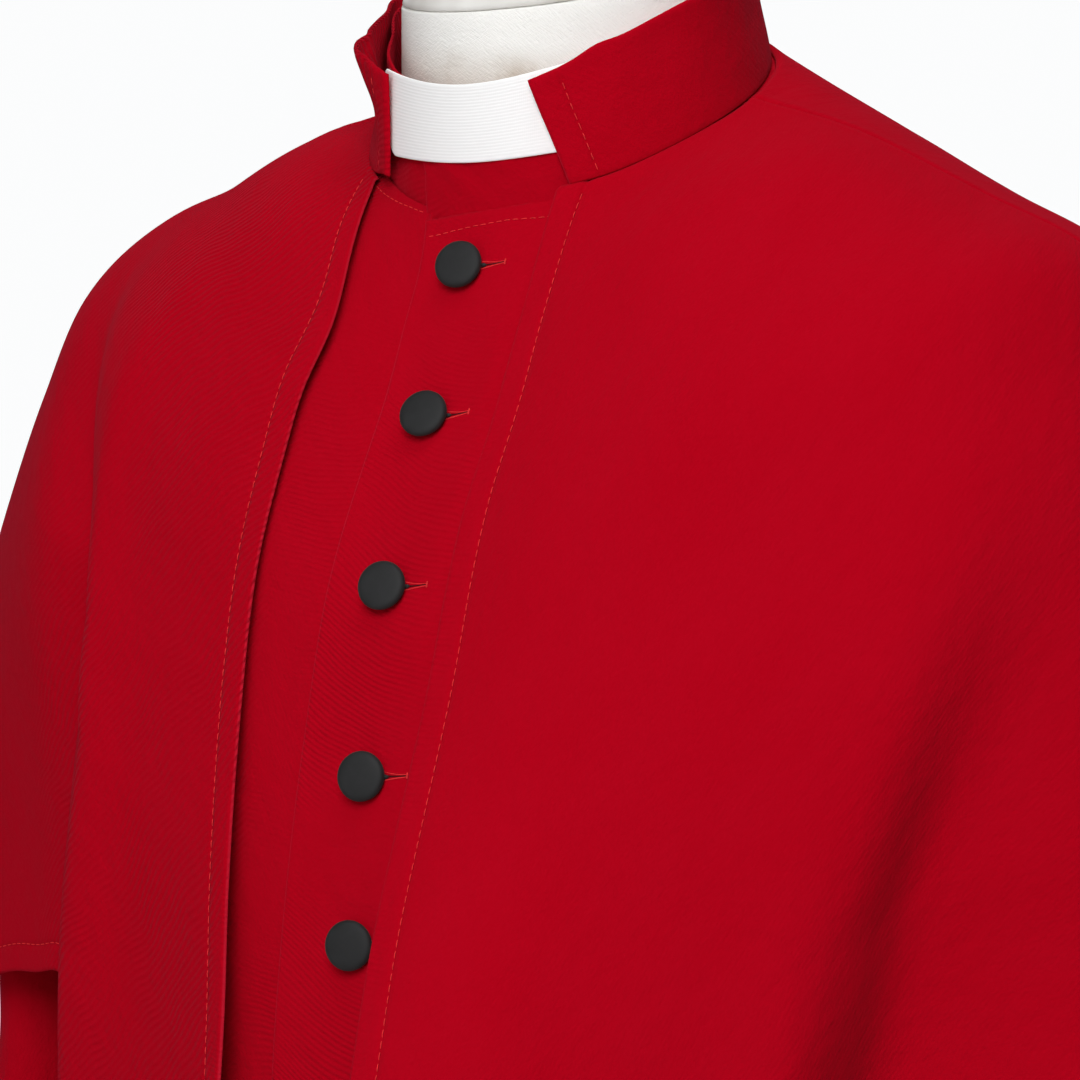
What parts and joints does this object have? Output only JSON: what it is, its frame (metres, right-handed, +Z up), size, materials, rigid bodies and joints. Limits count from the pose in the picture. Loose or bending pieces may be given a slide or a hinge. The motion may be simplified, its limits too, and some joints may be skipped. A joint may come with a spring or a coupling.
{
  "type": "cassock on dress form",
  "caption": "Red clerical cassock with a joined shoulder cape, standing collar, white collar tab and black front buttons, on a limbless dress form with a round base.",
  "frame": {"origin": "centre of the underside of the stand's round base, on the floor", "axes": "+Z up along the neck's axis, -Y towards the front of the garment, +X towards the wearer's left"},
  "size_m": [0.6198, 0.5269, 1.5708],
  "materials": {
    "cloth": "matt red twill",
    "tab": "white, finely ribbed",
    "buttons": "matt black, slightly domed",
    "form_linen": "off-white linen, stretched smooth",
    "form_cap": "off-white linen cap",
    "stand_metal": "satin"
  },
  "bodies": {
    "root": {"front_left": "cloth", "front_right": "cloth", "back": "cloth", "sleeve_left": "cloth", "sleeve_right": "cloth", "neck_band": "cloth", "collar_tab": "tab", "cape_collar": "cloth", "cape_front_left": "cloth", "cape_front_right": "cloth", "cape_back": "cloth", "button_01": "buttons", "button_02": "buttons", "button_03": "buttons", "button_04": "buttons", "button_05": "buttons", "button_06": "buttons", "button_07": "buttons", "button_08": "buttons", "button_09": "buttons", "button_10": "buttons", "button_11": "buttons", "button_12": "buttons", "button_13": "buttons", "button_14": "buttons", "button_15": "buttons", "form_torso": "form_linen", "form_neck_cap": "form_cap", "form_pole": "stand_metal", "form_base": "stand_metal"}
  },
  "joints": []
}
